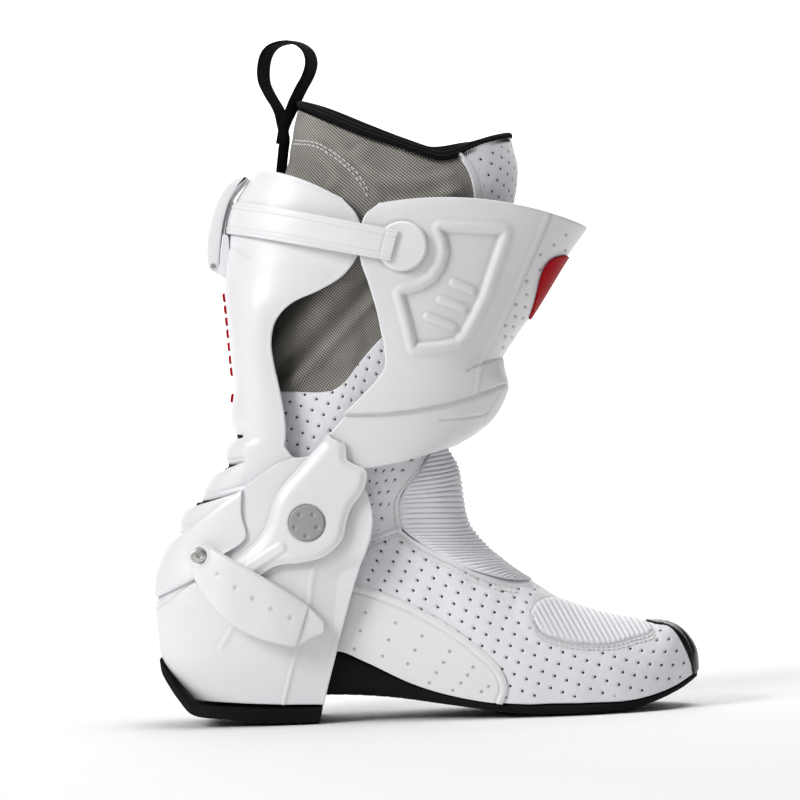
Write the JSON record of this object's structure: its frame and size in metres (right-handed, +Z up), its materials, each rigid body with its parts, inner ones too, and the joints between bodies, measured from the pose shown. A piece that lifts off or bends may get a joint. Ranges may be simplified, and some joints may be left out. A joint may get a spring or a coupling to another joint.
{
  "type": "motorcycle road racing boot",
  "caption": "White motorcycle racing boot with an outside hinged ankle brace, perforated bootie, shin and calf plates joined by a strap, and a black sole.",
  "frame": {"origin": "on the ground, at the middle of the boot's length and width", "axes": "+X towards the toe, +Y towards the inner side of the foot, +Z up"},
  "size_m": [0.3026, 0.1224, 0.3798],
  "materials": {
    "white_shell": "satin moulded",
    "white_leather": "perforated microfibre",
    "off_white_plastic": "satin moulded",
    "black_rubber": "matt",
    "black_gloss": "polished",
    "grey_mesh": "woven mesh",
    "black_webbing": "ribbed webbing",
    "cap_grey": "satin",
    "steel": "brushed",
    "red": "satin",
    "black_foam": "foam insole"
  },
  "bodies": {
    "foot": {"outsole": "black_rubber", "shank_plate": "steel", "footbed": "black_foam", "foot_upper": "white_leather", "toe_bumper": "black_gloss", "toe_flex_panel": "white_leather", "side_guard_lateral": "off_white_plastic", "side_guard_medial": "off_white_plastic", "instep_flex_panel": "white_leather", "heel_sole": "black_rubber", "heel_cup": "white_shell", "heel_yoke": "white_shell", "hinge_pin_lateral": "steel", "hinge_pin_medial": "steel", "hinge_cap_lateral": "cap_grey", "hinge_cap_medial": "cap_grey", "hinge_washer_lateral": "cap_grey", "hinge_washer_medial": "cap_grey", "heel_screw_lateral": "steel", "heel_screw_medial": "steel", "achilles_gaiter": "black_webbing"},
    "cuff": {"leather_ankle": "white_leather", "mesh_shaft": "grey_mesh", "shin_tongue": "white_leather", "collar_binding": "black_webbing", "pull_loop": "black_webbing", "shin_frame": "white_shell", "hinge_arm_lateral": "white_shell", "hinge_arm_medial": "white_shell", "shin_plate": "white_shell", "shin_panel_lateral": "white_shell", "shin_panel_medial": "white_shell", "shin_red_insert": "red", "strap_anchor_lateral": "white_shell", "strap_anchor_medial": "white_shell"},
    "calf": {"calf_plate": "white_shell", "calf_red_ladder": "red", "closure_strap": "white_shell", "buckle_bracket": "white_shell", "buckle_pin": "steel"},
    "strap_lever": {"buckle_lever": "white_shell"},
    "lame_upper": {"achilles_lame_upper": "white_shell"},
    "lame_middle": {"achilles_lame_middle": "white_shell"},
    "lame_lower": {"achilles_lame_lower": "white_shell"},
    "lever_lateral": {"heel_lever_lateral": "white_shell"},
    "lever_medial": {"heel_lever_medial": "white_shell"}
  },
  "joints": [
    {"name": "ankle_flex", "type": "hinge", "parent": "foot", "child": "cuff", "pos_m": [-0.0635, 0, 0.1112], "axis": [0, 1, 0], "range_deg": [-5, 20], "deforming": ["instep_flex_panel", "achilles_gaiter"]},
    {"name": "calf_plate_swing", "type": "hinge", "parent": "cuff", "child": "calf", "pos_m": [-0.0635, 0, 0.1112], "axis": [0, 1, 0], "range_deg": [-12, 0]},
    {"name": "strap_lever_open", "type": "hinge", "parent": "calf", "child": "strap_lever", "pos_m": [-0.111, 0, 0.2546], "axis": [0, 1, 0], "range_deg": [-100, 0]},
    {"name": "lame_upper_follow", "type": "hinge", "parent": "foot", "child": "lame_upper", "pos_m": [-0.0635, 0, 0.1112], "axis": [0, 1, 0], "range_deg": [-3.75, 15]},
    {"name": "lame_middle_follow", "type": "hinge", "parent": "foot", "child": "lame_middle", "pos_m": [-0.0635, 0, 0.1112], "axis": [0, 1, 0], "range_deg": [-2.5, 10]},
    {"name": "lame_lower_follow", "type": "hinge", "parent": "foot", "child": "lame_lower", "pos_m": [-0.0635, 0, 0.1112], "axis": [0, 1, 0], "range_deg": [-1.25, 5]},
    {"name": "heel_lever_lateral_turn", "type": "hinge", "parent": "foot", "child": "lever_lateral", "pos_m": [-0.1229, 0, 0.0955], "axis": [0, 1, 0], "range_deg": [0, 25]},
    {"name": "heel_lever_medial_turn", "type": "hinge", "parent": "foot", "child": "lever_medial", "pos_m": [-0.1229, 0, 0.0955], "axis": [0, 1, 0], "range_deg": [0, 25]}
  ],
  "couplings": [
    {"joint": "lame_upper_follow", "follows": "ankle_flex", "ratio": 0.75},
    {"joint": "lame_middle_follow", "follows": "ankle_flex", "ratio": 0.5},
    {"joint": "lame_lower_follow", "follows": "ankle_flex", "ratio": 0.25}
  ]
}
